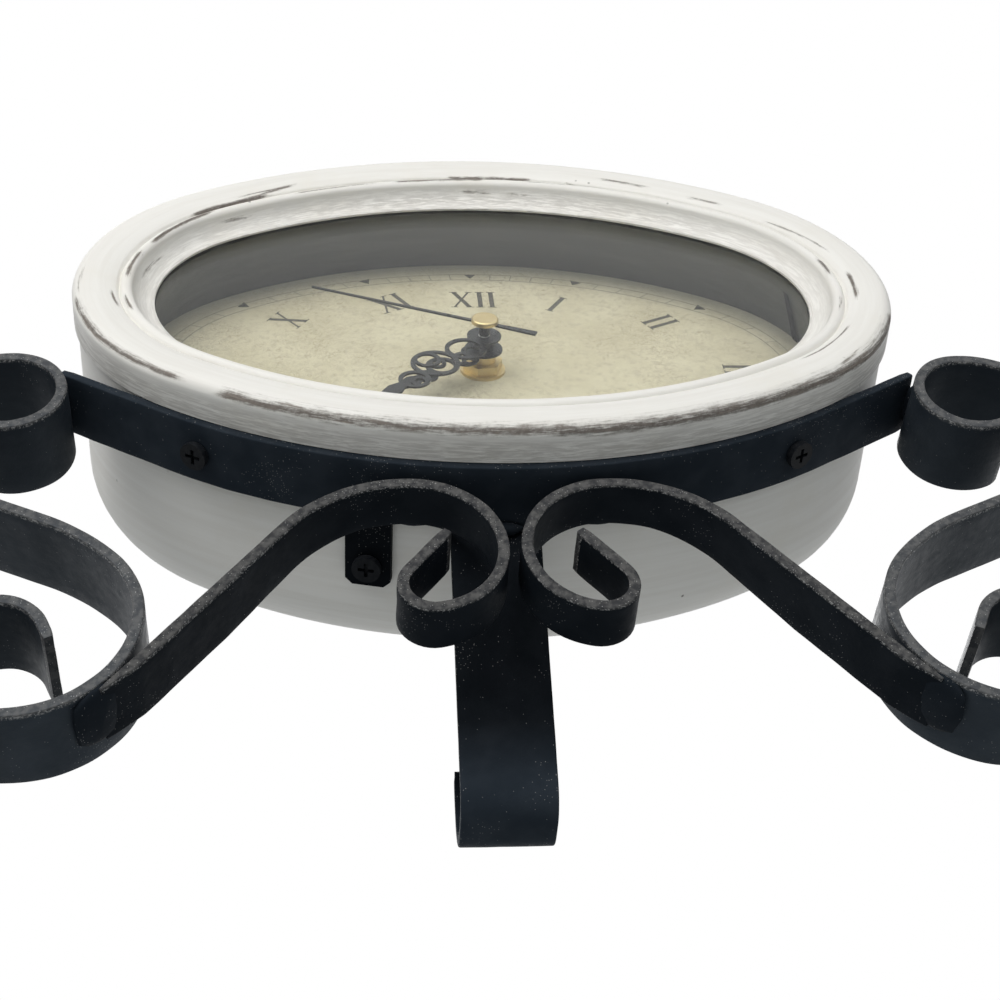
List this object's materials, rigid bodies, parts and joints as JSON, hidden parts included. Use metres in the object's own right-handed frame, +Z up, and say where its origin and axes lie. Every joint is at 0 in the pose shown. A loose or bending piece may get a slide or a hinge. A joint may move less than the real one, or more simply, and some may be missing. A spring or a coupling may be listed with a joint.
{
  "type": "table clock",
  "caption": "Reclining oval table clock: white distressed wooden drum with a cream Roman dial and filigree hands, cradled in a scrolled black strap-iron stand",
  "frame": {"origin": "centre of the bounding box, on the table surface", "axes": "+X to the clock's right as seen from the front, +Y to the back, +Z up"},
  "size_m": [0.3318, 0.1104, 0.263],
  "materials": {
    "white_paint": "worn white paint over brown wood, sanded through at the edges",
    "clear_glass": "clear flat pane",
    "grey_card": "matte dark grey",
    "cream_dial": "aged cream print, matte",
    "fibre_board": "raw brown fibre board",
    "bright_steel": "zinc plated",
    "black_rubber": "matte",
    "black_plastic": "moulded, satin",
    "brass": "polished, slightly dulled",
    "hand_black": "satin black",
    "white_plastic": "natural moulded",
    "dark_steel": "sintered magnet",
    "copper_wire": "enamelled winding",
    "green_board": "solder mask",
    "cell_jacket": "plain printed jacket",
    "black_iron": "black satin, lightly hammered, edges rubbed grey"
  },
  "bodies": {
    "clock_and_stand": {"case_drum": "white_paint", "bezel": "white_paint", "glass_lens": "clear_glass", "dial_liner": "grey_card", "dial_plate": "cream_dial", "dial_board": "fibre_board", "dial_board_screws": "bright_steel", "back_panel": "fibre_board", "back_panel_screws": "bright_steel", "gasket": "black_rubber", "movement_housing": "black_plastic", "movement_cover": "black_plastic", "threaded_bushing": "brass", "mounting_washer": "brass", "mounting_nut": "brass", "stator": "bright_steel", "coil": "copper_wire", "circuit_board": "green_board", "battery": "cell_jacket", "contact_positive": "bright_steel", "contact_negative": "bright_steel", "cradle_band": "black_iron", "cradle_screws": "black_iron", "case_tab": "black_iron", "tab_screw": "black_iron", "left_side_scroll": "black_iron", "right_side_scroll": "black_iron", "left_brace_scroll": "black_iron", "right_brace_scroll": "black_iron", "rear_leg": "black_iron"},
    "minute_set": {"minute_hand": "hand_black", "minute_wheel": "white_plastic"},
    "hour_set": {"hour_hand": "hand_black", "hour_wheel": "white_plastic"},
    "motion_set": {"motion_wheel": "white_plastic"},
    "knob_set": {"set_knob": "white_plastic"},
    "second_set": {"second_hand": "hand_black", "second_hand_cap": "brass", "second_wheel": "white_plastic"},
    "transfer_set": {"transfer_wheel": "white_plastic"},
    "rotor_set": {"rotor": "dark_steel"}
  },
  "joints": [
    {"name": "minute_turn", "type": "hinge", "parent": "clock_and_stand", "child": "minute_set", "pos_m": [0, 0.00245, 0.1674], "axis": [0, 0.9848, -0.1736], "continuous": true},
    {"name": "hour_turn", "type": "hinge", "parent": "clock_and_stand", "child": "hour_set", "pos_m": [0, 0.00245, 0.1674], "axis": [0, 0.9848, -0.1736], "continuous": true},
    {"name": "motion_turn", "type": "hinge", "parent": "clock_and_stand", "child": "motion_set", "pos_m": [0.00846, 0.00299, 0.17043], "axis": [0, 0.9848, -0.1736], "continuous": true},
    {"name": "knob_turn", "type": "hinge", "parent": "clock_and_stand", "child": "knob_set", "pos_m": [0.01593, 0.00408, 0.1766], "axis": [0, 0.9848, -0.1736], "continuous": true},
    {"name": "second_turn", "type": "hinge", "parent": "clock_and_stand", "child": "second_set", "pos_m": [0, 0.00245, 0.1674], "axis": [0, 0.9848, -0.1736], "continuous": true},
    {"name": "transfer_turn", "type": "hinge", "parent": "clock_and_stand", "child": "transfer_set", "pos_m": [-0.00804, 0.00363, 0.17405], "axis": [0, 0.9848, -0.1736], "continuous": true},
    {"name": "rotor_turn", "type": "hinge", "parent": "clock_and_stand", "child": "rotor_set", "pos_m": [-0.01133, 0.00519, 0.18293], "axis": [0, 0.9848, -0.1736], "continuous": true}
  ],
  "couplings": [
    {"joint": "hour_turn", "follows": "minute_turn", "ratio": 0.083333},
    {"joint": "motion_turn", "follows": "minute_turn", "ratio": -0.33333},
    {"joint": "knob_turn", "follows": "minute_turn", "ratio": 0.75},
    {"joint": "transfer_turn", "follows": "second_turn", "ratio": -6},
    {"joint": "rotor_turn", "follows": "second_turn", "ratio": 30}
  ]
}
